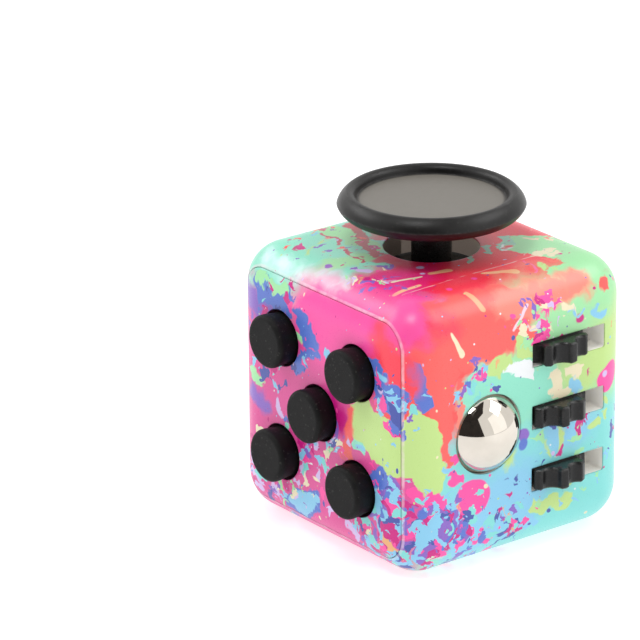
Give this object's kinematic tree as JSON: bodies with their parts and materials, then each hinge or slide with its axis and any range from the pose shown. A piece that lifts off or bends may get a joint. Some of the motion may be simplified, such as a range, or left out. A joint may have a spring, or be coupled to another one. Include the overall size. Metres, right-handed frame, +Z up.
{
  "type": "fidget cube",
  "caption": "Rounded hand-held cube with a different thumb toy on each side: push buttons, gears and rolling ball, sliding stick, rocker switch, dial and thumb hollow.",
  "frame": {"origin": "middle of the underside, on the plane the cube rests on", "axes": "+Z up through the stick; the buttons face -X, the gears and ball -Y, the rocker +X, the dial +Y"},
  "size_m": [0.0369, 0.0371, 0.0397],
  "materials": {
    "printed_shell": "white plastic with a glossy multicolour splatter print outside",
    "inner_plastic": "plain moulded white",
    "button_rubber": "matte, fine grain",
    "disc_rubber": "satin, soft touch",
    "black_plastic": "semi-gloss",
    "polished_ball": "mirror polished",
    "pin_steel": "ground",
    "spring_steel": "drawn, bright",
    "screw_steel": "zinc plated"
  },
  "bodies": {
    "housing": {"housing": "printed_shell", "click_cover": "printed_shell", "click_plate": "inner_plastic", "click_plate_screws": "screw_steel", "roll_frame": "inner_plastic", "roll_frame_screws": "screw_steel", "gear_axle": "pin_steel", "ball_spring": "spring_steel", "slide_tray": "inner_plastic", "slide_tray_screws": "screw_steel", "centring_spring": "spring_steel", "rocker_pin": "pin_steel", "rocker_bracket": "inner_plastic", "rocker_bracket_screws": "screw_steel", "rocker_spring": "spring_steel", "dial_washer": "pin_steel", "snap_dome_upper_left": "spring_steel", "silent_spring_upper_right": "spring_steel", "snap_dome_centre": "spring_steel", "silent_spring_lower_left": "spring_steel", "snap_dome_lower_right": "spring_steel"},
    "cross_slide": {"cross_slide": "inner_plastic"},
    "stick": {"glide_stem": "black_plastic", "glide_disc": "disc_rubber"},
    "ball_carrier": {"ball_cup": "inner_plastic"},
    "ball": {"roller_ball": "polished_ball"},
    "rocker": {"rocker": "black_plastic"},
    "dial": {"spin_dial": "black_plastic", "dial_clip": "spring_steel"},
    "button_upper_left": {"button_cap_upper_left": "button_rubber", "button_plunger_upper_left": "inner_plastic"},
    "button_upper_right": {"button_cap_upper_right": "button_rubber", "button_plunger_upper_right": "inner_plastic"},
    "button_centre": {"button_cap_centre": "button_rubber", "button_plunger_centre": "inner_plastic"},
    "button_lower_left": {"button_cap_lower_left": "button_rubber", "button_plunger_lower_left": "inner_plastic"},
    "button_lower_right": {"button_cap_lower_right": "button_rubber", "button_plunger_lower_right": "inner_plastic"},
    "gear_top": {"gear_top": "black_plastic"},
    "gear_middle": {"gear_middle": "black_plastic"},
    "gear_bottom": {"gear_bottom": "black_plastic"}
  },
  "joints": [
    {"name": "press_upper_left", "type": "slide", "parent": "housing", "child": "button_upper_left", "axis": [1, 0, 0], "range_m": [0, 0.001], "stiffness_N_per_m": 1400, "springref_m": -0.0004, "deforming": ["snap_dome_upper_left"]},
    {"name": "press_upper_right", "type": "slide", "parent": "housing", "child": "button_upper_right", "axis": [1, 0, 0], "range_m": [0, 0.001], "stiffness_N_per_m": 900, "springref_m": -0.0004, "deforming": ["silent_spring_upper_right"]},
    {"name": "press_centre", "type": "slide", "parent": "housing", "child": "button_centre", "axis": [1, 0, 0], "range_m": [0, 0.001], "stiffness_N_per_m": 1400, "springref_m": -0.0004, "deforming": ["snap_dome_centre"]},
    {"name": "press_lower_left", "type": "slide", "parent": "housing", "child": "button_lower_left", "axis": [1, 0, 0], "range_m": [0, 0.001], "stiffness_N_per_m": 900, "springref_m": -0.0004, "deforming": ["silent_spring_lower_left"]},
    {"name": "press_lower_right", "type": "slide", "parent": "housing", "child": "button_lower_right", "axis": [1, 0, 0], "range_m": [0, 0.001], "stiffness_N_per_m": 1400, "springref_m": -0.0004, "deforming": ["snap_dome_lower_right"]},
    {"name": "glide_y", "type": "slide", "parent": "housing", "child": "cross_slide", "axis": [0, 1, 0], "range_m": [-0.0021, 0.0021], "stiffness_N_per_m": 150, "deforming": ["centring_spring"]},
    {"name": "glide_x", "type": "slide", "parent": "cross_slide", "child": "stick", "axis": [1, 0, 0], "range_m": [-0.0021, 0.0021], "stiffness_N_per_m": 150},
    {"name": "turn_gear_top", "type": "hinge", "parent": "housing", "child": "gear_top", "pos_m": [0.0055, -0.01405, 0.0241], "axis": [0, 0, 1], "continuous": true},
    {"name": "turn_gear_middle", "type": "hinge", "parent": "housing", "child": "gear_middle", "pos_m": [0.0055, -0.01405, 0.0165], "axis": [0, 0, 1], "continuous": true},
    {"name": "turn_gear_bottom", "type": "hinge", "parent": "housing", "child": "gear_bottom", "pos_m": [0.0055, -0.01405, 0.0089], "axis": [0, 0, 1], "continuous": true},
    {"name": "press_ball", "type": "slide", "parent": "housing", "child": "ball_carrier", "axis": [0, 1, 0], "range_m": [0, 0.0009], "stiffness_N_per_m": 1500, "springref_m": -0.0004, "deforming": ["ball_spring"]},
    {"name": "roll_ball", "type": "hinge", "parent": "ball_carrier", "child": "ball", "pos_m": [-0.00497, -0.01422, 0.0162], "axis": [1, 0, 0], "continuous": true},
    {"name": "flip_rocker", "type": "hinge", "parent": "housing", "child": "rocker", "pos_m": [0.0129, 0, 0.0165], "axis": [0, 1, 0], "range_deg": [-20, 0], "deforming": ["rocker_spring"]},
    {"name": "spin_dial", "type": "hinge", "parent": "housing", "child": "dial", "pos_m": [0, 0.0165, 0.0165], "axis": [0, 1, 0], "continuous": true}
  ]
}
